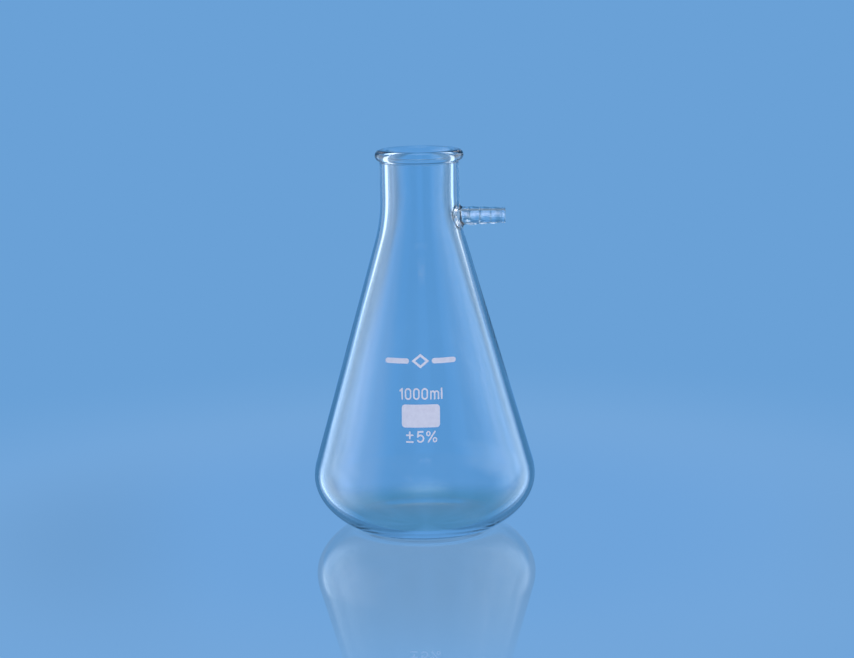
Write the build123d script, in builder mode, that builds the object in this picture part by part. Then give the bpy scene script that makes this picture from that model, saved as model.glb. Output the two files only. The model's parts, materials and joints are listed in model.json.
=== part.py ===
from build123d import *
import os
from math import acos, atan2, cos, degrees, hypot, radians, sin, tan

# Buchner flask, 1000 ml: a heavy-wall conical filter flask of clear glass with one serrated side arm.
# Millimetres, +Z up. The origin is on the flask's axis, in the plane of the ring that it stands on.
# The side arm points along +X, and the printed enamel marks face -Y.

# Driving dimensions of the flask
total_height = 230.0
belly_radius = 67.5
belly_height = 31.0
shoulder_arc_radius = 31.3
cone_half_angle = 16.0
neck_radius = 23.8
neck_blend_radius = 90.0

# Walls
cone_wall = 4.0
neck_wall = 4.6
base_thickness = 5.0
floor_height = 4.6

# Foot: a flat ring to stand on, with the middle of the base pushed up
foot_inner_radius = 38.4
foot_outer_radius = 41.0
kick_up = 2.2
heel_foot_reach = 4.5
heel_belly_reach = 19.0
inner_heel_start = 40.0
inner_heel_foot_reach = 5.0
inner_heel_belly_reach = 15.5
dome_inner_share = 0.5
dome_outer_share = 0.7

# Rim: a rolled bead with a small fillet under it and a rounded lip inside it
rim_radius = 26.6
bead_radius = 3.5
bead_fillet_radius = 1.5
lip_radius = 2.5

# Side arm
arm_height = 189.6
arm_tip = 51.3
arm_bore_radius = 3.0
arm_root_radius = 5.4
arm_stem_radius = 5.3
weld_radius = 7.8
weld_start = 21.5
weld_shoulder = 25.0
weld_end = 28.2
flare_lift = 0.3
flare_steep_share = 0.2
flare_flat_share = 0.5
barb_start = 29.9
barb_count = 3
barb_rise = 0.3
barb_land = 1.6
crest_radius = 5.7
crest_step = 0.3
barb_depth = 0.75
tip_ring_radius = 4.8
tip_ring_length = 2.2
tip_rounding = 0.6

# Enamel marks, printed on the front of the cone
enamel_thickness = 0.15
coat_length = 95.0
stroke = 0.9
fine_stroke = 0.7
emblem_height = 109.7
emblem_width = 10.4
emblem_drop = 8.2
emblem_stroke = 1.3
emblem_bar_length = 14.0
emblem_bar_width = 3.0
emblem_gap = 1.5
digit_tall = 6.6
digit_wide = 3.9
digit_pitch = 4.9

# Capacity mark: where its figures and letters stand, from left to right
capacity_height = 91.1
one_x = -10.9
one_flag_wide = 1.2
one_flag_tall = 1.1
first_nought_x = -7.4
m_stem_x = 6.0
m_arch_radius = 1.1
m_arch_rise = 3.1
l_x = 12.3

# Marking patch
patch_height = 78.6
patch_wide = 22.4
patch_tall = 12.9
patch_corner = 2.0

# Tolerance mark: its sign, its figure and its per cent sign
tolerance_height = 66.9
sign_x = -6.6
sign_reach = 1.8
sign_rise = 0.9
five_left = -1.9
five_hook = 0.2
five_wide = 2.8
five_stem_foot = 0.5
bowl_radius = 1.85
bowl_inset = 1.5
bowl_start_angle = 145
bowl_sweep = 290
slash_x = 6.2
slash_reach = 1.9
percent_ring_wide = 2.5
percent_ring_tall = 3.0

# Places that the outer wall and the inner wall share
belly_arc_centre = belly_radius - shoulder_arc_radius
inner_belly_radius = belly_radius - cone_wall
inner_neck_radius = neck_radius - neck_wall
half_angle = radians(cone_half_angle)


def cone_start(arc_radius):
    """The point where the belly arc of this radius runs into the straight cone."""
    return (
        belly_arc_centre + arc_radius * cos(half_angle),
        belly_height + arc_radius * sin(half_angle),
    )


def draw_shoulder(arc_radius, neck, blend):
    """Belly arc, straight cone and neck blend. Returns the neck's lowest straight point."""
    start_x, start_z = cone_start(arc_radius)
    corner_z = start_z + (start_x - neck) / tan(half_angle)
    blend_reach = blend * tan(half_angle / 2)
    blend_x = neck + blend_reach * sin(half_angle)
    blend_z = corner_z - blend_reach * cos(half_angle)
    neck_z = corner_z + blend_reach
    CenterArc((belly_arc_centre, belly_height), arc_radius, 0, cone_half_angle)
    Line((start_x, start_z), (blend_x, blend_z))
    CenterArc((neck + blend, neck_z), blend, 180 + cone_half_angle, -cone_half_angle)
    return neck, neck_z


# The space inside the flask, from its floor up through the mouth
with BuildPart() as cavity:
    with BuildSketch(Plane.XZ):
        with BuildLine():
            floor_centre = kick_up + base_thickness
            Bezier(
                (0, floor_centre),
                (foot_inner_radius * dome_inner_share, floor_centre),
                (foot_inner_radius * dome_outer_share, floor_height),
                (inner_heel_start, floor_height),
            )
            Bezier(
                (inner_heel_start, floor_height),
                (inner_heel_start + inner_heel_foot_reach, floor_height),
                (inner_belly_radius, belly_height - inner_heel_belly_reach),
                (inner_belly_radius, belly_height),
            )
            neck_foot = draw_shoulder(
                shoulder_arc_radius - cone_wall, inner_neck_radius, neck_blend_radius + neck_wall
            )
            lip_foot = (inner_neck_radius, total_height - lip_radius)
            lip_top = (inner_neck_radius + lip_radius, total_height)
            Line(neck_foot, lip_foot)
            CenterArc((lip_top[0], lip_foot[1]), lip_radius, 180, -90)
            Polyline(lip_top, (lip_top[0], total_height + 1), (0, total_height + 1), (0, floor_centre))
        make_face()
    revolve(axis=Axis.Z)

# Flask body: one blown piece from the standing ring to the rolled rim, with a hole for the side arm
with BuildPart() as flask_body:
    with BuildSketch(Plane.XZ):
        with BuildLine():
            Bezier(
                (0, kick_up),
                (foot_inner_radius * dome_inner_share, kick_up),
                (foot_inner_radius * dome_outer_share, 0),
                (foot_inner_radius, 0),
            )
            Line((foot_inner_radius, 0), (foot_outer_radius, 0))
            Bezier(
                (foot_outer_radius, 0),
                (foot_outer_radius + heel_foot_reach, 0),
                (belly_radius, belly_height - heel_belly_reach),
                (belly_radius, belly_height),
            )
            neck_foot = draw_shoulder(shoulder_arc_radius, neck_radius, neck_blend_radius)
            bead_centre = (rim_radius - bead_radius, total_height - bead_radius)
            fillet_x = neck_radius + bead_fillet_radius
            bead_angle = degrees(acos((fillet_x - bead_centre[0]) / (bead_radius + bead_fillet_radius)))
            fillet_drop = (bead_radius + bead_fillet_radius) * sin(radians(bead_angle))
            fillet_z = bead_centre[1] - fillet_drop
            Line(neck_foot, (neck_radius, fillet_z))
            CenterArc((fillet_x, fillet_z), bead_fillet_radius, 180, -bead_angle)
            CenterArc(bead_centre, bead_radius, -bead_angle, 90 + bead_angle)
            Polyline((bead_centre[0], total_height), (0, total_height), (0, kick_up))
        make_face()
    revolve(axis=Axis.Z)
    add(cavity.part, mode=Mode.SUBTRACT)
    with BuildSketch(Plane.YZ) as arm_hole:
        with Locations((0, arm_height)):
            Circle(arm_root_radius)
    extrude(amount=belly_radius, mode=Mode.SUBTRACT)
flask_body.part.label = "flask_body"

# Side arm: a hose connection with three barbs, fused into the hole in the neck by a flared weld
with BuildPart() as side_arm:
    with BuildSketch(Plane.XZ):
        with BuildLine():
            outline = [
                (0, arm_bore_radius),
                (0, arm_root_radius),
                (weld_start, arm_root_radius),
                (weld_start, weld_radius),
                (weld_shoulder, weld_radius),
            ]
            Polyline([(x, arm_height + r) for x, r in outline])
            weld_length = weld_end - weld_shoulder
            stem_z = arm_height + arm_stem_radius
            Bezier(
                (weld_shoulder, arm_height + weld_radius),
                (weld_shoulder + weld_length * flare_steep_share, stem_z + flare_lift),
                (weld_shoulder + weld_length * flare_flat_share, stem_z),
                (weld_end, stem_z),
            )
            ring_start = arm_tip - tip_ring_length
            barb_pitch = (ring_start - barb_start) / barb_count
            barbs = [(weld_end, arm_stem_radius), (barb_start - barb_rise, arm_stem_radius)]
            for index in range(barb_count):
                crest_x = barb_start + index * barb_pitch
                crest = crest_radius - index * crest_step
                barbs.append((crest_x, crest))
                barbs.append((crest_x + barb_land, crest))
                barbs.append((crest_x + barb_pitch - barb_rise, crest - barb_depth))
            tip = [
                (ring_start, tip_ring_radius),
                (arm_tip - tip_rounding, tip_ring_radius),
                (arm_tip, tip_ring_radius - tip_rounding),
                (arm_tip, arm_bore_radius),
                (0, arm_bore_radius),
            ]
            Polyline([(x, arm_height + r) for x, r in barbs + tip])
        make_face()
    revolve(axis=Axis((0, 0, arm_height), (1, 0, 0)))
    add(cavity.part, mode=Mode.SUBTRACT)
    add(flask_body.part, mode=Mode.SUBTRACT)
side_arm.part.label = "side_arm"

# A thin coat over the outside of the cone, from which every enamel mark is cut
with BuildPart() as enamel_coat:
    with BuildSketch(Plane.XZ):
        with BuildLine():
            coat_start = cone_start(shoulder_arc_radius)
            coat_x = coat_start[0] - coat_length * sin(half_angle)
            coat_z = coat_start[1] + coat_length * cos(half_angle)
            coat_out = enamel_thickness * cos(half_angle)
            coat_up = enamel_thickness * sin(half_angle)
            Polyline(
                coat_start,
                (coat_x, coat_z),
                (coat_x + coat_out, coat_z + coat_up),
                (coat_start[0] + coat_out, coat_start[1] + coat_up),
                close=True,
            )
        make_face()
    revolve(axis=Axis.Z)


def draw_stroke(start, end, width=stroke):
    """A straight printed stroke with round ends between two points."""
    length = hypot(end[0] - start[0], end[1] - start[1])
    middle = ((start[0] + end[0]) / 2, (start[1] + end[1]) / 2)
    with Locations(middle):
        SlotCenterToCenter(length, width, rotation=degrees(atan2(end[1] - start[1], end[0] - start[0])))


def draw_ring(middle, wide, tall, width=stroke):
    """A closed printed loop, as in a nought or in the rings of a per cent sign."""
    corner_share = 0.498
    with Locations(middle):
        RectangleRounded(wide, tall, wide * corner_share)
        inner_wide = wide - 2 * width
        RectangleRounded(inner_wide, tall - 2 * width, inner_wide * corner_share, mode=Mode.SUBTRACT)


# Emblem: an outlined lozenge between two plain bars
with BuildPart() as emblem:
    with BuildSketch(Plane.XZ):
        side_length = hypot(emblem_width, emblem_drop) / 2
        inset_share = 2 * emblem_stroke * side_length / (emblem_width * emblem_drop / 2)
        with Locations((0, emblem_height)):
            for share, mode in ((1, Mode.ADD), (1 - inset_share, Mode.SUBTRACT)):
                half_wide = emblem_width / 2 * share
                half_tall = emblem_drop / 2 * share
                corners = [(half_wide, 0), (0, half_tall), (-half_wide, 0), (0, -half_tall)]
                Polygon(*corners, align=None, mode=mode)
        bar_x = emblem_width / 2 + emblem_gap + emblem_bar_length / 2
        with Locations((-bar_x, emblem_height), (bar_x, emblem_height)):
            SlotOverall(emblem_bar_length, emblem_bar_width)
    extrude(amount=belly_radius)
    add(enamel_coat.part, mode=Mode.INTERSECT)
emblem.part.label = "emblem"

# Capacity mark: the figures 1000 and the unit ml
with BuildPart() as capacity_mark:
    with BuildSketch(Plane.XZ):
        low = capacity_height - digit_tall / 2 + stroke / 2
        high = capacity_height + digit_tall / 2 - stroke / 2
        draw_stroke((one_x, low), (one_x, high))
        draw_stroke((one_x, high), (one_x - one_flag_wide, high - one_flag_tall))
        for index in range(3):
            draw_ring((first_nought_x + index * digit_pitch, capacity_height), digit_wide, digit_tall)
        arch_z = low + m_arch_rise
        draw_stroke((m_stem_x, low), (m_stem_x, arch_z + m_arch_radius))
        for index in range(2):
            arch_x = m_stem_x + (2 * index + 1) * m_arch_radius
            with BuildLine(mode=Mode.PRIVATE) as arch:
                CenterArc((arch_x, arch_z), m_arch_radius, 0, 180)
            SlotArc(arch.wire(), stroke)
            draw_stroke((arch_x + m_arch_radius, low), (arch_x + m_arch_radius, arch_z))
        draw_stroke((l_x, low), (l_x, high))
    extrude(amount=belly_radius)
    add(enamel_coat.part, mode=Mode.INTERSECT)
capacity_mark.part.label = "capacity_mark"

# Marking patch: a solid block of white enamel to write on with a pencil
with BuildPart() as marking_patch:
    with BuildSketch(Plane.XZ):
        with Locations((0, patch_height)):
            RectangleRounded(patch_wide, patch_tall, patch_corner)
    extrude(amount=belly_radius)
    add(enamel_coat.part, mode=Mode.INTERSECT)
marking_patch.part.label = "marking_patch"

# Tolerance mark: plus or minus five per cent
with BuildPart() as tolerance_mark:
    with BuildSketch(Plane.XZ):
        low = tolerance_height - digit_tall / 2 + stroke / 2
        high = tolerance_height + digit_tall / 2 - stroke / 2
        sign_z = tolerance_height + sign_rise
        draw_stroke((sign_x - sign_reach, low), (sign_x + sign_reach, low))
        draw_stroke((sign_x - sign_reach, sign_z), (sign_x + sign_reach, sign_z))
        draw_stroke((sign_x, sign_z - sign_reach), (sign_x, sign_z + sign_reach))
        hook_x = five_left + five_hook
        bowl = (five_left + bowl_inset, low + bowl_radius)
        draw_stroke((hook_x, high), (hook_x + five_wide, high))
        draw_stroke((hook_x, high), (five_left, bowl[1] + bowl_radius - five_stem_foot))
        with BuildLine(mode=Mode.PRIVATE) as bowl_line:
            CenterArc(bowl, bowl_radius, bowl_start_angle, -bowl_sweep)
        SlotArc(bowl_line.wire(), stroke)
        draw_stroke((slash_x - slash_reach, low), (slash_x + slash_reach, high))
        ring_inset = (percent_ring_tall - stroke) / 2
        upper_ring = (slash_x - slash_reach, high - ring_inset)
        lower_ring = (slash_x + slash_reach, low + ring_inset)
        for ring in (upper_ring, lower_ring):
            draw_ring(ring, percent_ring_wide, percent_ring_tall, fine_stroke)
    extrude(amount=belly_radius)
    add(enamel_coat.part, mode=Mode.INTERSECT)
tolerance_mark.part.label = "tolerance_mark"

os.makedirs("parts", exist_ok=True)
for piece in (flask_body, side_arm, emblem, capacity_mark, marking_patch, tolerance_mark):
    export_step(piece.part, f"parts/{piece.part.label}.step")
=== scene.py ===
import json
from math import asin, atan2, cos, degrees, hypot, pi, radians, sin, sqrt, tan

import bmesh
import bpy
from mathutils import Matrix, Vector


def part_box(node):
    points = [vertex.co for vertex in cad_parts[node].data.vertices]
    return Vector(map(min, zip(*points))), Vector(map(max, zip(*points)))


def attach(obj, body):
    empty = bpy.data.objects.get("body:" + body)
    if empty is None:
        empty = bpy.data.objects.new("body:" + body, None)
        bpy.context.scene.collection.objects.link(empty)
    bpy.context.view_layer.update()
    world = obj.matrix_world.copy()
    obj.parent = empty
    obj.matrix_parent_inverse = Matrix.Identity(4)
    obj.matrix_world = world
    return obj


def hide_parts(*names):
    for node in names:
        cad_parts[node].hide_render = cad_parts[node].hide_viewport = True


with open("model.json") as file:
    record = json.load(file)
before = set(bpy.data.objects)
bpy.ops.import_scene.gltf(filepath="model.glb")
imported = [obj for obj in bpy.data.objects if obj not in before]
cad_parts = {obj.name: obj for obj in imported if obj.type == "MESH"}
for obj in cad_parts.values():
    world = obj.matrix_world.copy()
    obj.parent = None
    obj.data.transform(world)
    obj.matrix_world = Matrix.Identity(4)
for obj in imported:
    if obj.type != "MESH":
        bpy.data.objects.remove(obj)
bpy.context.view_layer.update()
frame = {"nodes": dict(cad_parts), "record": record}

# A 1000 ml buchner flask of clear borosilicate glass. Metres, +Z up, on the flask's axis at its foot.
# The side arm points along +X and the enamel marks face -Y.

MM = 0.001


def mount(name):
    """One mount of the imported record."""
    return next(m for m in frame["record"]["mounts"] if m["name"] == name)


# Sizes read from the frame
flask_low, flask_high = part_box("flask_body")
arm_low, arm_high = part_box("side_arm")
TOTAL_HEIGHT = flask_high[2]
BELLY_RADIUS = flask_high[0]
INNER_NECK_RADIUS = mount("neck_mouth")["dims"]["r_mm"] * MM
ARM_HEIGHT = mount("side_arm_hose")["pos_m"][2]
ARM_CREST_RADIUS = mount("side_arm_hose")["dims"]["r_mm"] * MM
ARM_TIP = arm_high[0]

# Shape of the walls
CONE_HALF_ANGLE = radians(16.0)
BELLY_HEIGHT = 31.0 * MM
SHOULDER_ARC_RADIUS = 31.3 * MM
CONE_WALL = 4.0 * MM
NECK_WALL = 4.6 * MM
NECK_BLEND_RADIUS = 90.0 * MM
NECK_RADIUS = INNER_NECK_RADIUS + NECK_WALL

# Foot and floor
KICK_UP = 2.2 * MM
BASE_THICKNESS = 5.0 * MM
FLOOR_HEIGHT = 4.6 * MM
FOOT_INNER_RADIUS = 38.4 * MM
FOOT_OUTER_RADIUS = 41.0 * MM
HEEL_FOOT_REACH = 4.5 * MM
HEEL_BELLY_REACH = 19.0 * MM
INNER_HEEL_START = 40.0 * MM
INNER_HEEL_FOOT_REACH = 5.0 * MM
INNER_HEEL_BELLY_REACH = 15.5 * MM

# Rim
RIM_RADIUS = 26.6 * MM
BEAD_RADIUS = 3.5 * MM
BEAD_FILLET_RADIUS = 1.5 * MM
LIP_RADIUS = 2.5 * MM

# Side arm
ARM_BORE_RADIUS = 3.0 * MM
ARM_STEM_RADIUS = 5.3 * MM
WELD_RADIUS = 8.4 * MM
WELD_END = 28.4 * MM
BARB_START = 29.9 * MM
BARB_COUNT = 3
BARB_RISE = 0.45 * MM
BARB_LAND = 1.6 * MM
CREST_STEP = 0.3 * MM
BARB_DEPTH = 0.75 * MM
TIP_RING_RADIUS = 4.8 * MM
TIP_RING_LENGTH = 2.2 * MM

# Mesh density
SEGMENTS = 256
PORT_COLUMNS = 48
PORT_ROWS = 26
PORT_HALF_HEIGHT = 13.0 * MM
PORT_RINGS = 9


def arc(centre, radius, start, end, steps):
    """Points (radius, height) on an arc, without its first point. Angles in degrees."""
    angles = [radians(start + (end - start) * i / steps) for i in range(1, steps + 1)]
    return [(centre[0] + radius * cos(a), centre[1] + radius * sin(a)) for a in angles]


def bezier(points, steps):
    """Points on a cubic curve of four control points in any dimension, without its first point."""
    result = []
    for i in range(1, steps + 1):
        t = i / steps
        weights = ((1 - t) ** 3, 3 * (1 - t) ** 2 * t, 3 * (1 - t) * t * t, t ** 3)
        result.append(tuple(sum(w * p[k] for w, p in zip(weights, points)) for k in range(len(points[0]))))
    return result


class Shoulder:
    """The wall from the belly to the neck: an arc, a straight cone, a blend and a straight neck."""

    def __init__(self, arc_radius, neck, blend):
        self.arc_radius = arc_radius
        self.centre = (BELLY_RADIUS - SHOULDER_ARC_RADIUS, BELLY_HEIGHT)
        self.neck = neck
        self.blend = blend
        self.start = (
            self.centre[0] + arc_radius * cos(CONE_HALF_ANGLE),
            self.centre[1] + arc_radius * sin(CONE_HALF_ANGLE),
        )
        corner = self.start[1] + (self.start[0] - neck) / tan(CONE_HALF_ANGLE)
        reach = blend * tan(CONE_HALF_ANGLE / 2)
        self.blend_foot = corner - reach * cos(CONE_HALF_ANGLE)
        self.neck_foot = corner + reach

    def radius(self, height):
        """The wall's radius at a height from the end of the belly arc up."""
        if height < self.blend_foot:
            return self.start[0] - (height - self.start[1]) * tan(CONE_HALF_ANGLE)
        if height < self.neck_foot:
            return self.neck + self.blend - sqrt(self.blend ** 2 - (self.neck_foot - height) ** 2)
        return self.neck


OUTER = Shoulder(SHOULDER_ARC_RADIUS, NECK_RADIUS, NECK_BLEND_RADIUS)
INNER = Shoulder(SHOULDER_ARC_RADIUS - CONE_WALL, INNER_NECK_RADIUS, NECK_BLEND_RADIUS + NECK_WALL)
PORT_LOW = ARM_HEIGHT - PORT_HALF_HEIGHT
PORT_HIGH = ARM_HEIGHT + PORT_HALF_HEIGHT


def even(low, high, steps):
    """Heights from low to high, without low."""
    return [low + (high - low) * i / steps for i in range(1, steps + 1)]


def smoothstep(low, high, value):
    t = min(max((value - low) / (high - low), 0.0), 1.0)
    return t * t * (3 - 2 * t)


def ripple(angle, height):
    """How far the blown inside wall wanders from its true radius."""
    z = height / MM
    waves = (
        0.55 * sin(2 * angle + 0.021 * z + 0.4)
        + 0.30 * sin(3 * angle - 0.043 * z + 2.1)
        + 0.15 * sin(5 * angle + 0.071 * z + 1.0)
        + 0.20 * sin(0.11 * z + 1.7 * sin(angle + 0.6))
    )
    fade = smoothstep(34, 60, z) * (1 - smoothstep(204, 220, z))
    return 0.16 * MM * waves * fade


def wall_point(inside, angle, height):
    """A point of the outer or inner wall of the shoulder."""
    radius = (INNER if inside else OUTER).radius(height)
    if inside:
        radius += ripple(angle, height)
    return (radius * cos(angle), radius * sin(angle), height)


def port_point(inside, turn, distance):
    """The wall's point at this turn about the side arm's axis and this distance from it."""
    side = distance * cos(turn)
    height = ARM_HEIGHT + distance * sin(turn)
    radius = (INNER if inside else OUTER).radius(height)
    if inside:
        radius += ripple(asin(side / radius), height)
    return (sqrt(radius ** 2 - side ** 2), side, height)


def flask_rows():
    """The wall as (radius, height, on the inner wall): under the base, over the rim, to the inner floor."""
    foot = [(0.0, KICK_UP)]
    foot += bezier(
        (
            (0, KICK_UP),
            (FOOT_INNER_RADIUS * 0.5, KICK_UP),
            (FOOT_INNER_RADIUS * 0.7, 0),
            (FOOT_INNER_RADIUS, 0),
        ),
        20,
    )
    foot += [(FOOT_INNER_RADIUS + (FOOT_OUTER_RADIUS - FOOT_INNER_RADIUS) * i / 4, 0.0) for i in range(1, 5)]
    foot += bezier(
        (
            (FOOT_OUTER_RADIUS, 0),
            (FOOT_OUTER_RADIUS + HEEL_FOOT_REACH, 0),
            (BELLY_RADIUS, BELLY_HEIGHT - HEEL_BELLY_REACH),
            (BELLY_RADIUS, BELLY_HEIGHT),
        ),
        28,
    )
    foot += arc(OUTER.centre, OUTER.arc_radius, 0, degrees(CONE_HALF_ANGLE), 6)

    outside_heights = even(OUTER.start[1], PORT_LOW, 36) + even(PORT_LOW, PORT_HIGH, PORT_ROWS)
    bead = (RIM_RADIUS - BEAD_RADIUS, TOTAL_HEIGHT - BEAD_RADIUS)
    fillet_x = NECK_RADIUS + BEAD_FILLET_RADIUS
    bead_angle = degrees(asin(1.0)) - degrees(asin((fillet_x - bead[0]) / (BEAD_RADIUS + BEAD_FILLET_RADIUS)))
    fillet_z = bead[1] - (BEAD_RADIUS + BEAD_FILLET_RADIUS) * sin(radians(bead_angle))
    outside_heights += even(PORT_HIGH, fillet_z, 8)
    outside = [(OUTER.radius(z), z) for z in outside_heights]

    rim = arc((fillet_x, fillet_z), BEAD_FILLET_RADIUS, 180, 180 - bead_angle, 6)
    rim += arc(bead, BEAD_RADIUS, -bead_angle, 90, 26)
    lip_x = INNER_NECK_RADIUS + LIP_RADIUS
    lip_z = TOTAL_HEIGHT - LIP_RADIUS
    rim += [((bead[0] + lip_x) / 2, TOTAL_HEIGHT), (lip_x, TOTAL_HEIGHT)]
    rim += arc((lip_x, lip_z), LIP_RADIUS, 90, 180, 12)

    inside_heights = even(INNER.start[1], PORT_LOW, 36) + even(PORT_LOW, PORT_HIGH, PORT_ROWS)
    inside_heights += even(PORT_HIGH, lip_z, 10)[:-1]
    inside = [(INNER.radius(z), z) for z in reversed(inside_heights)]

    inner_belly = BELLY_RADIUS - CONE_WALL
    belly = [INNER.start]
    belly += arc(INNER.centre, INNER.arc_radius, degrees(CONE_HALF_ANGLE), 0, 6)
    belly += bezier(
        (
            (inner_belly, BELLY_HEIGHT),
            (inner_belly, BELLY_HEIGHT - INNER_HEEL_BELLY_REACH),
            (INNER_HEEL_START + INNER_HEEL_FOOT_REACH, FLOOR_HEIGHT),
            (INNER_HEEL_START, FLOOR_HEIGHT),
        ),
        26,
    )
    floor_centre = KICK_UP + BASE_THICKNESS
    belly += bezier(
        (
            (INNER_HEEL_START, FLOOR_HEIGHT),
            (FOOT_INNER_RADIUS * 0.7, FLOOR_HEIGHT),
            (FOOT_INNER_RADIUS * 0.5, floor_centre),
            (0, floor_centre),
        ),
        22,
    )
    return [(r, z, False) for r, z in foot + outside + rim] + [(r, z, True) for r, z in inside + belly]


def port_outline():
    """The turns about the side arm's axis of the columns round the port, from the cells' outline."""
    half = PORT_COLUMNS * pi / SEGMENTS
    steps_across = [half * (2 * i / PORT_COLUMNS - 1) for i in range(PORT_COLUMNS)]
    steps_up = [PORT_HALF_HEIGHT * (2 * i / PORT_ROWS - 1) for i in range(PORT_ROWS)]
    corners = [(a, -PORT_HALF_HEIGHT) for a in steps_across]
    corners += [(half, z) for z in steps_up]
    corners += [(-a, PORT_HALF_HEIGHT) for a in steps_across]
    corners += [(-half, -z) for z in steps_up]
    return corners


PORT_OUTLINE = port_outline()
PORT_TURNS = [atan2(z, OUTER.radius(ARM_HEIGHT) * a) for a, z in PORT_OUTLINE]


def grid_faces(bm, rings, closed_rows=False):
    """Quads between neighbouring rings of the same number of points."""
    faces = []
    pairs = list(zip(rings, rings[1:]))
    if closed_rows:
        pairs.append((rings[-1], rings[0]))
    for low, high in pairs:
        count = len(low)
        for i in range(count):
            faces.append(bm.faces.new((low[i], low[(i + 1) % count], high[(i + 1) % count], high[i])))
    return faces


def finish_mesh(bm, name, slot_of_face, sharp_rings):
    """Turns the bmesh into a smooth object with outward normals and sharp edges round the rings."""
    for face in bm.faces:
        face.smooth = True
        face.material_index = slot_of_face.get(face, 0)
    for ring in sharp_rings:
        for a, b in zip(ring, ring[1:] + ring[:1]):
            edge = bm.edges.get((a, b))
            edge.smooth = False
    bmesh.ops.recalc_face_normals(bm, faces=bm.faces)
    mesh = bpy.data.meshes.new(name)
    bm.to_mesh(mesh)
    bm.free()
    piece = bpy.data.objects.new(name, mesh)
    bpy.context.scene.collection.objects.link(piece)
    return piece


def build_body():
    """The blown flask, with the port for the side arm as a clean ring of cells in the neck."""
    bm = bmesh.new()
    rows = flask_rows()
    port_first = [i for i, row in enumerate(rows) if abs(row[1] - PORT_LOW) < 1e-9]
    rings = []
    for radius, height, inside in rows:
        if radius == 0.0:
            rings.append([bm.verts.new((0.0, 0.0, height))])
            continue
        ring = []
        for column in range(SEGMENTS):
            angle = 2 * pi * column / SEGMENTS
            r = radius + (ripple(angle, height) if inside else 0.0)
            ring.append(bm.verts.new((r * cos(angle), r * sin(angle), height)))
        rings.append(ring)

    half = PORT_COLUMNS // 2
    outer_first, inner_last = port_first
    blocks = (range(outer_first, outer_first + PORT_ROWS), range(inner_last - PORT_ROWS, inner_last))
    for index, (low, high) in enumerate(zip(rings, rings[1:])):
        for column in range(SEGMENTS):
            after = (column + 1) % SEGMENTS
            if len(low) == 1:
                bm.faces.new((low[0], high[after], high[column]))
            elif len(high) == 1:
                bm.faces.new((low[column], low[after], high[0]))
            elif any(index in block for block in blocks) and (column + half) % SEGMENTS < PORT_COLUMNS:
                continue
            else:
                bm.faces.new((low[column], low[after], high[after], high[column]))

    holes = []
    for inside in (False, True):
        edge = []
        for angle, z in PORT_OUTLINE:
            column = round(angle * SEGMENTS / (2 * pi)) % SEGMENTS
            step = round((z + PORT_HALF_HEIGHT) / (2 * PORT_HALF_HEIGHT) * PORT_ROWS)
            row = inner_last - step if inside else outer_first + step
            edge.append(rings[row][column])
        port_rings = []
        for k in range(PORT_RINGS):
            t = (k / PORT_RINGS) ** 1.2
            ring = []
            for (angle, z), turn in zip(PORT_OUTLINE, PORT_TURNS):
                x, y, height = port_point(inside, turn, WELD_RADIUS)
                if k == 0:
                    ring.append(bm.verts.new((x, y, height)))
                    continue
                blend_angle = asin(y / hypot(x, y)) * (1 - t) + angle * t
                blend_height = height * (1 - t) + (ARM_HEIGHT + z) * t
                ring.append(bm.verts.new(wall_point(inside, blend_angle, blend_height)))
            port_rings.append(ring)
        grid_faces(bm, port_rings + [edge])
        holes.append(port_rings[0])
    seam = {face: 1 for face in grid_faces(bm, holes)}
    loose = [vert for vert in bm.verts if not vert.link_faces]
    bmesh.ops.delete(bm, geom=loose, context="VERTS")
    return finish_mesh(bm, "blown_flask", seam, holes)


def rounded(points, radius, steps=4):
    """An outline with each inner corner replaced by a short curve."""
    result = [points[0]]
    for before, corner, after in zip(points, points[1:], points[2:]):
        ends = []
        for other in (before, after):
            length = hypot(other[0] - corner[0], other[1] - corner[1])
            share = min(radius / length, 0.45)
            ends.append(tuple(c + (o - c) * share for c, o in zip(corner, other)))
        for i in range(steps + 1):
            t = i / steps
            weights = ((1 - t) ** 2, 2 * (1 - t) * t, t * t)
            controls = (ends[0], corner, ends[1])
            result.append(tuple(sum(w * p[k] for w, p in zip(weights, controls)) for k in range(2)))
    result.append(points[-1])
    return result


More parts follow.
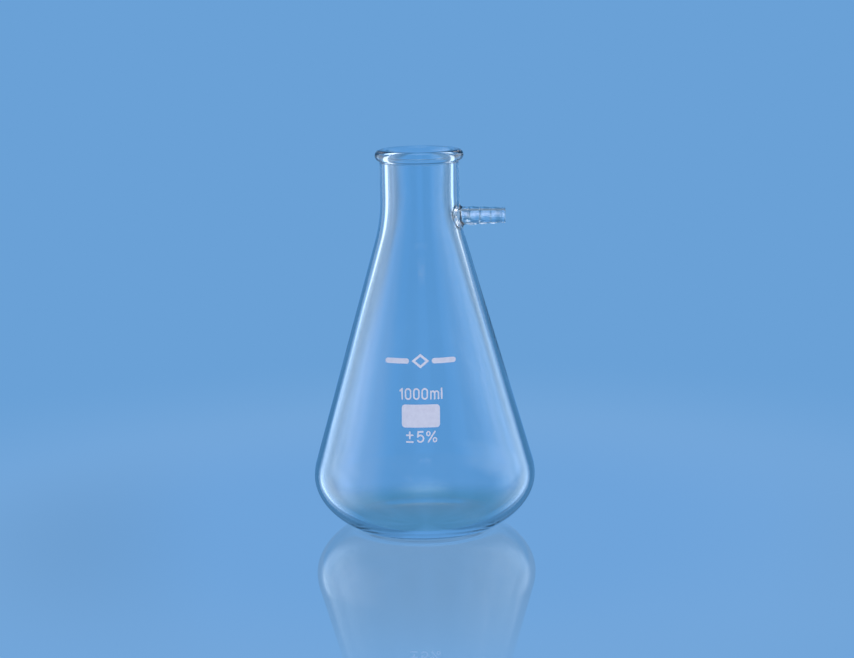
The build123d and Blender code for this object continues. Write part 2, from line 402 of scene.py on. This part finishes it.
def build_arm():
    """The side arm: weld flare, barbs and fire-polished tip outside, and the bore through it."""
    bm = bmesh.new()
    ring_start = ARM_TIP - TIP_RING_LENGTH
    pitch = (ring_start - BARB_START) / BARB_COUNT
    outline = [(WELD_END, ARM_STEM_RADIUS), (BARB_START - BARB_RISE, ARM_STEM_RADIUS)]
    for index in range(BARB_COUNT):
        crest_x = BARB_START + index * pitch
        crest = ARM_CREST_RADIUS - index * CREST_STEP
        outline += [(crest_x, crest), (crest_x + BARB_LAND, crest)]
        outline.append((crest_x + pitch - BARB_RISE, crest - BARB_DEPTH))
    outline += [(ring_start, TIP_RING_RADIUS), (ARM_TIP, TIP_RING_RADIUS), (ARM_TIP, ARM_BORE_RADIUS)]
    bore_end = INNER.radius(ARM_HEIGHT) + 1.2 * MM
    outline.append((bore_end, ARM_BORE_RADIUS))
    outline = rounded(outline, 1.0 * MM)

    bore_mouth = ARM_BORE_RADIUS + 0.9 * MM
    annulus = [bore_mouth + (WELD_RADIUS - bore_mouth) * i / 6 for i in range(7)]
    columns = []
    for turn in PORT_TURNS:
        across, up = cos(turn), sin(turn)
        weld = Vector(port_point(False, turn, WELD_RADIUS))
        ahead = Vector(port_point(False, turn, WELD_RADIUS - 0.1 * MM)) - weld
        stem = Vector((WELD_END, ARM_STEM_RADIUS * across, ARM_HEIGHT + ARM_STEM_RADIUS * up))
        reach = (stem - weld).length * 0.55
        flare = (weld, weld + ahead.normalized() * reach, stem - Vector((reach, 0, 0)), stem)
        column = [port_point(True, turn, distance) for distance in annulus]
        column.append(tuple(weld))
        column += bezier([tuple(p) for p in flare], 12)
        column += [(x, r * across, ARM_HEIGHT + r * up) for x, r in outline[1:]]
        columns.append(column)
    rings = [[bm.verts.new(column[row]) for column in columns] for row in range(len(columns[0]))]
    seam_row = len(annulus) - 1
    faces = grid_faces(bm, rings, closed_rows=True)
    count = len(PORT_TURNS)
    seam = {face: 1 for face in faces[seam_row * count:(seam_row + 1) * count]}
    return finish_mesh(bm, "glass_side_arm", seam, [rings[seam_row], rings[seam_row + 1]])


# Shader nodes

def new_material(name):
    material = bpy.data.materials.new(name)
    material.use_nodes = True
    nodes = material.node_tree.nodes
    return material, nodes, material.node_tree.links, nodes["Principled BSDF"]


def noise_between(nodes, links, scale, detail, low, high, stretch=(1.0, 1.0, 1.0)):
    """Noise in the piece's own coordinates, spread from low to high. Returns its output."""
    place = nodes.new("ShaderNodeTexCoord")
    mapping = nodes.new("ShaderNodeMapping")
    mapping.inputs["Scale"].default_value = stretch
    noise = nodes.new("ShaderNodeTexNoise")
    noise.inputs["Scale"].default_value = scale
    noise.inputs["Detail"].default_value = detail
    links.new(place.outputs["Object"], mapping.inputs["Vector"])
    links.new(mapping.outputs["Vector"], noise.inputs["Vector"])
    spread = nodes.new("ShaderNodeMapRange")
    spread.inputs["From Min"].default_value = 0.3
    spread.inputs["From Max"].default_value = 0.7
    spread.inputs["To Min"].default_value = low
    spread.inputs["To Max"].default_value = high
    links.new(noise.outputs["Fac"], spread.inputs["Value"])
    return spread.outputs["Result"]


def two_tones(nodes, links, factor, *tones):
    """A colour that goes from the first tone to the second with the factor. Returns its output."""
    mix = nodes.new("ShaderNodeMix")
    mix.data_type = "RGBA"
    links.new(factor, mix.inputs["Factor"])
    for socket, tone in zip((mix.inputs["A"], mix.inputs["B"]), tones):
        if isinstance(tone, bpy.types.NodeSocket):
            links.new(tone, socket)
        else:
            socket.default_value = tone
    return mix.outputs["Result"]


def math_node(nodes, links, operation, *values):
    """A Math node with sockets or numbers as its inputs. Returns its output."""
    node = nodes.new("ShaderNodeMath")
    node.operation = operation
    for socket, value in zip(node.inputs, values):
        if isinstance(value, bpy.types.NodeSocket):
            links.new(value, socket)
        else:
            socket.default_value = value
    return node.outputs[0]


def smooth_range(nodes, links, value, low, high):
    """Goes smoothly from 0 at low to 1 at high. Returns its output."""
    spread = nodes.new("ShaderNodeMapRange")
    spread.interpolation_type = "SMOOTHSTEP"
    links.new(value, spread.inputs["Value"])
    spread.inputs["From Min"].default_value = low
    spread.inputs["From Max"].default_value = high
    return spread.outputs["Result"]


def mixed(nodes, links, factor, first, second):
    """A mix of two shaders that goes from the first to the second with the factor. Returns its output."""
    mix = nodes.new("ShaderNodeMixShader")
    links.new(factor, mix.inputs["Fac"])
    links.new(first, mix.inputs[1])
    links.new(second, mix.inputs[2])
    return mix.outputs["Shader"]


def bumped(nodes, links, height, depth, strength):
    """A normal raised by the height, at most this depth in metres. Returns its output."""
    bump = nodes.new("ShaderNodeBump")
    bump.inputs["Strength"].default_value = strength
    bump.inputs["Distance"].default_value = depth
    links.new(height, bump.inputs["Height"])
    return bump.outputs["Normal"]


# Materials

GLASS_IOR = 1.473
FUSED_IOR = 1.0


def glass_material():
    """Clear borosilicate glass: a faint tint in streaks along the flask and the low waves of blown glass."""
    material, nodes, links, shader = new_material("clear_glass")
    shader.inputs["Transmission Weight"].default_value = 1.0
    shader.inputs["IOR"].default_value = GLASS_IOR
    streaks = noise_between(nodes, links, 28.0, 2.0, 0.0, 1.0, stretch=(1.0, 1.0, 0.25))
    tint = two_tones(nodes, links, streaks, (0.920, 0.975, 0.985, 1.0), (0.945, 0.990, 0.995, 1.0))
    links.new(tint, shader.inputs["Base Color"])
    links.new(noise_between(nodes, links, 90.0, 3.0, 0.0, 0.006), shader.inputs["Roughness"])
    waves = noise_between(nodes, links, 45.0, 1.0, 0.0, 1.0, stretch=(1.0, 1.0, 0.6))
    links.new(bumped(nodes, links, waves, 0.02 * MM, 1.0), shader.inputs["Normal"])
    return material


def seam_material():
    """The inside of the weld, where the two pieces are one glass: no bend in the light, only faint striae."""
    material, nodes, links, shader = new_material("fused_seam")
    striae = noise_between(nodes, links, 160.0, 2.0, 0.0, 1.0, stretch=(0.3, 1.0, 1.0))
    tint = two_tones(nodes, links, striae, (0.970, 0.988, 0.994, 1.0), (0.996, 0.999, 1.0, 1.0))
    links.new(tint, shader.inputs["Base Color"])
    shader.inputs["Transmission Weight"].default_value = 1.0
    shader.inputs["IOR"].default_value = FUSED_IOR
    shader.inputs["Roughness"].default_value = 0.0
    return material


def enamel_material():
    """Fired white enamel: a slightly uneven coat with the fine grain of screen printing."""
    material, nodes, links, shader = new_material("white_enamel")
    coat = noise_between(nodes, links, 420.0, 4.0, 0.0, 1.0)
    tone = two_tones(nodes, links, coat, (0.82, 0.81, 0.83, 1.0), (0.91, 0.90, 0.91, 1.0))
    links.new(tone, shader.inputs["Base Color"])
    links.new(noise_between(nodes, links, 700.0, 3.0, 0.38, 0.55), shader.inputs["Roughness"])
    grain = noise_between(nodes, links, 2600.0, 2.0, 0.0, 1.0)
    links.new(bumped(nodes, links, grain, 0.01 * MM, 0.6), shader.inputs["Normal"])
    return material


GLASS = glass_material()
SEAM = seam_material()
ENAMEL = enamel_material()

body = build_body()
arm = build_arm()
for piece, node in ((body, "flask_body"), (arm, "side_arm")):
    piece.data.materials.append(GLASS)
    piece.data.materials.append(SEAM)
    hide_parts(node)
    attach(piece, "root")
    piece.visible_shadow = False

for node in ("emblem", "capacity_mark", "marking_patch", "tolerance_mark"):
    mark = frame["nodes"][node]
    mark.data.materials.clear()
    mark.data.materials.append(ENAMEL)
    mark.visible_shadow = False


# Studio. The camera sees a plain floor and backdrop.
# Rays that met the glass see other tones, which draw its edges.

BACKDROP = (0.144, 0.356, 0.679, 1.0)
FLOOR_TONE = (0.185, 0.395, 0.715, 1.0)
# Painted shade: a darker floor tone round the foot that only rays through the glass see
FLOOR_SHADE_IN_GLASS = (0.070, 0.255, 0.490, 1.0)
GLASS_SURROUND = (0.115, 0.330, 0.695, 1.0)
MIRRORED_SURROUND = (0.155, 0.240, 0.360, 1.0)
MIRRORED_RISE_START = 0.02
MIRRORED_RISE_END = 0.08
# What a ray sees after more reflections than this: a fixed dark blue, painted shade in the rim and heel in
# place of the lamps and tones it would reach
TRAPPED_SHADE = (0.075, 0.170, 0.310, 1.0)
TRAPPED_DEPTH = 8.5
SHADE = (0.060, 0.190, 0.390, 1.0)
SHADE_BEARING = radians(10.0)
SHADE_SOFTNESS = radians(3.0)
SHADE_RISE = radians(22.0)
FLOOR_RADIUS = 0.55
FLOOR_CORE = 0.16
POLISH_START = 0.12
POLISH_END = 0.34
# Radii of the disc of painted floor shade under the foot
SHADE_DISC_RADIUS = 0.045
SHADE_DISC_EDGE = 0.10
FLOOR_POLISH = 0.40
FLOOR_ROUGHNESS = 0.015
SHARP_FEATHER = 0.25
SOFT_FEATHER = 0.5
END_FEATHER = 0.4
COOL_LIGHT = (0.76, 0.88, 1.0)
SOFT_LIGHT = (0.95, 0.95, 1.0)

# Light cards that only reflections show: name, bearing, spread, radiance, colour, feather
SOFTBOXES = (
    ("strip_left", -57, 38, 1.15, COOL_LIGHT, SHARP_FEATHER),
    ("wash_left", -86, 56, 1.45, SOFT_LIGHT, SOFT_FEATHER),
    ("wash_front_left", -114, 60, 0.85, SOFT_LIGHT, SOFT_FEATHER),
    ("strip_right", 54, 30, 0.95, COOL_LIGHT, SHARP_FEATHER),
    ("wash_right", 78, 44, 0.52, SOFT_LIGHT, SOFT_FEATHER),
)
SIDE_CARD_DISTANCE = 1.0
SIDE_CARD_HEIGHT = 0.0
SIDE_CARD_LENGTH = 2.2
TOP_CARD_PLACE = (0.0, 0.10, 1.3)
TOP_CARD_SIZE = (0.9, 1.1)
TOP_LIGHT_RADIANCE = 1.8
ARM_CARD_PLACE = (0.35, -0.85, 0.75)
ARM_CARD_SIZE = (1.8, 1.8)
ARM_LIGHT = (0.95, 0.93, 1.0)
ARM_LIGHT_RADIANCE = 4.0
CARD_AIM = Vector((0, 0, 0.12))
FILL_LIGHT = (1.0, 0.83, 0.77)
FILL_SIZE = 0.8
FILL_AIM = Vector((0, 0, 0.1))
FRONT_FILL_POWER = 13.8
BACK_FILL_POWER = 24.0


def build_world():
    """A plain backdrop for the camera. Other rays see dark flags overhead and at every eighth of a turn."""
    world = bpy.data.worlds.new("studio_backdrop")
    world.use_nodes = True
    nodes, links = world.node_tree.nodes, world.node_tree.links
    background = nodes["Background"]
    place = nodes.new("ShaderNodeTexCoord")
    split = nodes.new("ShaderNodeSeparateXYZ")
    links.new(place.outputs["Generated"], split.inputs[0])
    bearing = math_node(nodes, links, "ARCTAN2", split.outputs["X"], split.outputs["Y"])
    eighth = math_node(nodes, links, "PINGPONG", bearing, pi / 8)
    flag_start, flag_end = SHADE_BEARING - SHADE_SOFTNESS, SHADE_BEARING + SHADE_SOFTNESS
    beside = smooth_range(nodes, links, eighth, flag_start, flag_end)
    flag_foot, flag_top = sin(SHADE_RISE - SHADE_SOFTNESS), sin(SHADE_RISE + SHADE_SOFTNESS)
    overhead = smooth_range(nodes, links, split.outputs["Z"], flag_foot, flag_top)
    shaded = math_node(nodes, links, "MAXIMUM", beside, overhead)
    surround = two_tones(nodes, links, shaded, GLASS_SURROUND, SHADE)
    path = nodes.new("ShaderNodeLightPath")
    reflected = math_node(nodes, links, "GREATER_THAN", path.outputs["Glossy Depth"], 0.5)
    through_glass = math_node(nodes, links, "GREATER_THAN", path.outputs["Transmission Depth"], 0.5)
    upward = smooth_range(nodes, links, split.outputs["Z"], MIRRORED_RISE_START, MIRRORED_RISE_END)
    both = math_node(nodes, links, "MULTIPLY", reflected, through_glass)
    mirrored = math_node(nodes, links, "MULTIPLY", both, upward)
    trapped = math_node(nodes, links, "GREATER_THAN", path.outputs["Glossy Depth"], TRAPPED_DEPTH)
    indirect = two_tones(nodes, links, mirrored, surround, MIRRORED_SURROUND)
    # Painted shade for rays trapped in the glass
    indirect = two_tones(nodes, links, trapped, indirect, TRAPPED_SHADE)
    seen = two_tones(nodes, links, path.outputs["Is Camera Ray"], indirect, BACKDROP)
    links.new(seen, background.inputs["Color"])
    bpy.context.scene.world = world


def build_floor():
    """A plain pale floor that mirrors the flask. Through the glass, only a disc round its foot shows, painted
    in a darker shade.
    """
    bm = bmesh.new()
    bmesh.ops.create_circle(bm, cap_ends=True, radius=FLOOR_RADIUS, segments=128)
    mesh = bpy.data.meshes.new("studio_floor")
    bm.to_mesh(mesh)
    bm.free()
    floor = bpy.data.objects.new("studio_floor", mesh)
    bpy.context.scene.collection.objects.link(floor)
    material = bpy.data.materials.new("floor_paint")
    material.use_nodes = True
    nodes, links = material.node_tree.nodes, material.node_tree.links
    nodes.clear()
    length = nodes.new("ShaderNodeVectorMath")
    length.operation = "LENGTH"
    links.new(nodes.new("ShaderNodeNewGeometry").outputs["Position"], length.inputs[0])
    distance = length.outputs["Value"]
    path = nodes.new("ShaderNodeLightPath")
    fade = smooth_range(nodes, links, distance, FLOOR_CORE, FLOOR_RADIUS)
    direct = two_tones(nodes, links, fade, FLOOR_TONE, BACKDROP)
    # Only a disc round the foot, in painted shade, shows through the glass
    outside_shade_disc = smooth_range(nodes, links, distance, SHADE_DISC_RADIUS, SHADE_DISC_EDGE)
    glow = nodes.new("ShaderNodeEmission")
    # Rays through the glass see the floor in the darker painted shade
    seen = two_tones(nodes, links, path.outputs["Is Camera Ray"], FLOOR_SHADE_IN_GLASS, direct)
    links.new(seen, glow.inputs["Color"])
    gloss = nodes.new("ShaderNodeBsdfGlossy")
    gloss.inputs["Roughness"].default_value = FLOOR_ROUGHNESS
    gloss.inputs["Color"].default_value = (1.0, 1.0, 1.0, 1.0)
    far = smooth_range(nodes, links, distance, POLISH_START, POLISH_END)
    near = math_node(nodes, links, "SUBTRACT", 1.0, far)
    polish = math_node(nodes, links, "MULTIPLY", near, FLOOR_POLISH)
    polish = math_node(nodes, links, "MULTIPLY", polish, path.outputs["Is Camera Ray"])
    paint = mixed(nodes, links, polish, glow.outputs["Emission"], gloss.outputs["BSDF"])
    reflected = math_node(nodes, links, "GREATER_THAN", path.outputs["Glossy Depth"], 0.5)
    through_glass = math_node(nodes, links, "SUBTRACT", 1.0, path.outputs["Is Camera Ray"])
    beyond = math_node(nodes, links, "MULTIPLY", outside_shade_disc, through_glass)
    unseen = math_node(nodes, links, "MAXIMUM", reflected, beyond)
    clear = nodes.new("ShaderNodeBsdfTransparent")
    output = nodes.new("ShaderNodeOutputMaterial")
    links.new(mixed(nodes, links, unseen, paint, clear.outputs["BSDF"]), output.inputs["Surface"])
    mesh.materials.append(material)


def receivers(name, pieces):
    """A collection of the pieces that a light reaches."""
    collection = bpy.data.collections.new(name)
    for piece in pieces:
        collection.objects.link(piece)
    return collection


def build_softbox(name, location, size, radiance, colour, feather_share, lit):
    """A light card with feathered sides that faces the flask. Only reflections in the lit pieces show it."""
    light = bpy.data.lights.new(name, "AREA")
    light.shape = "RECTANGLE"
    light.size, light.size_y = size
    light.energy = radiance * pi * light.size * light.size_y
    light.color = colour
    light.use_nodes = True
    nodes, links = light.node_tree.nodes, light.node_tree.links
    geometry = nodes.new("ShaderNodeNewGeometry")
    split = nodes.new("ShaderNodeSeparateXYZ")
    links.new(geometry.outputs["Parametric"], split.inputs[0])
    depth = nodes.new("ShaderNodeLightPath").outputs["Glossy Depth"]
    reflected = math_node(nodes, links, "GREATER_THAN", depth, 0.5)
    free = math_node(nodes, links, "LESS_THAN", depth, TRAPPED_DEPTH)
    strength = math_node(nodes, links, "MULTIPLY", reflected, free)
    for axis, width in (("X", feather_share), ("Y", END_FEATHER)):
        inset = math_node(nodes, links, "PINGPONG", split.outputs[axis], 0.5)
        feather = smooth_range(nodes, links, inset, 0.0, width)
        strength = math_node(nodes, links, "MULTIPLY", strength, feather)
    links.new(strength, nodes["Emission"].inputs["Strength"])
    card = bpy.data.objects.new(name, light)
    bpy.context.scene.collection.objects.link(card)
    card.location = location
    card.rotation_euler = (CARD_AIM - card.location).to_track_quat("-Z", "Y").to_euler()
    card.visible_camera = False
    card.light_linking.receiver_collection = lit


def build_side_softbox(name, bearing, spread, radiance, colour, feather_share, lit):
    """A tall light card beside the flask. Degrees, seen from the flask, from +Y towards +X."""
    turn = radians(bearing)
    width = 2 * SIDE_CARD_DISTANCE * tan(radians(spread / 2))
    place = (SIDE_CARD_DISTANCE * sin(turn), SIDE_CARD_DISTANCE * cos(turn), SIDE_CARD_HEIGHT)
    build_softbox(name, place, (width, SIDE_CARD_LENGTH), radiance, colour, feather_share, lit)


def build_fill(name, location, power):
    """A soft light on the enamel that no reflection or view through the glass shows."""
    light = bpy.data.lights.new(name, "AREA")
    light.size = FILL_SIZE
    light.energy = power
    light.color = FILL_LIGHT
    card = bpy.data.objects.new(name, light)
    bpy.context.scene.collection.objects.link(card)
    card.location = location
    card.rotation_euler = (FILL_AIM - card.location).to_track_quat("-Z", "Y").to_euler()
    card.visible_camera = False
    card.visible_transmission = False
    card.visible_glossy = False


def build_camera():
    """The viewing angle: slightly above the rim, a little to the right of the marks, leaning one degree."""
    distance, height, aim_height = 1.300, 0.3505, 0.118
    bearing = radians(1.8)
    lean = radians(1.044)
    data = bpy.data.cameras.new("camera")
    data.lens = 91.67
    data.sensor_width = 36.0
    data.shift_x = 0.0055
    data.shift_y = 0.0050
    data.clip_start = 0.01
    camera = bpy.data.objects.new("camera", data)
    bpy.context.scene.collection.objects.link(camera)
    pitch = atan2(height - aim_height, distance)
    turn = Matrix.Rotation(bearing, 4, "Z") @ Matrix.Rotation(pi / 2 - pitch, 4, "X")
    turn = turn @ Matrix.Rotation(-lean, 4, "Z")
    place = Matrix.Translation((distance * sin(bearing), -distance * cos(bearing), height))
    camera.matrix_world = place @ turn
    bpy.context.scene.camera = camera


build_world()
build_floor()
glass_pieces = receivers("glass_pieces", (body, arm))
arm_alone = receivers("arm_alone", (arm,))
for softbox in SOFTBOXES:
    build_side_softbox(*softbox, glass_pieces)
build_softbox(
    "top_light", TOP_CARD_PLACE, TOP_CARD_SIZE, TOP_LIGHT_RADIANCE, COOL_LIGHT, SOFT_FEATHER, glass_pieces
)
build_softbox(
    "arm_light", ARM_CARD_PLACE, ARM_CARD_SIZE, ARM_LIGHT_RADIANCE, ARM_LIGHT, SHARP_FEATHER, arm_alone
)
build_fill("front_fill", (0.1, -1.2, 1.0), FRONT_FILL_POWER)
build_fill("back_fill", (-0.1, 1.2, 1.0), BACK_FILL_POWER)
build_camera()

scene = bpy.context.scene
scene.view_settings.view_transform = "Standard"
scene.view_settings.look = "None"
scene.cycles.max_bounces = 48
scene.cycles.transmission_bounces = 48
scene.cycles.glossy_bounces = 48
scene.cycles.caustics_refractive = True
scene.cycles.caustics_reflective = True
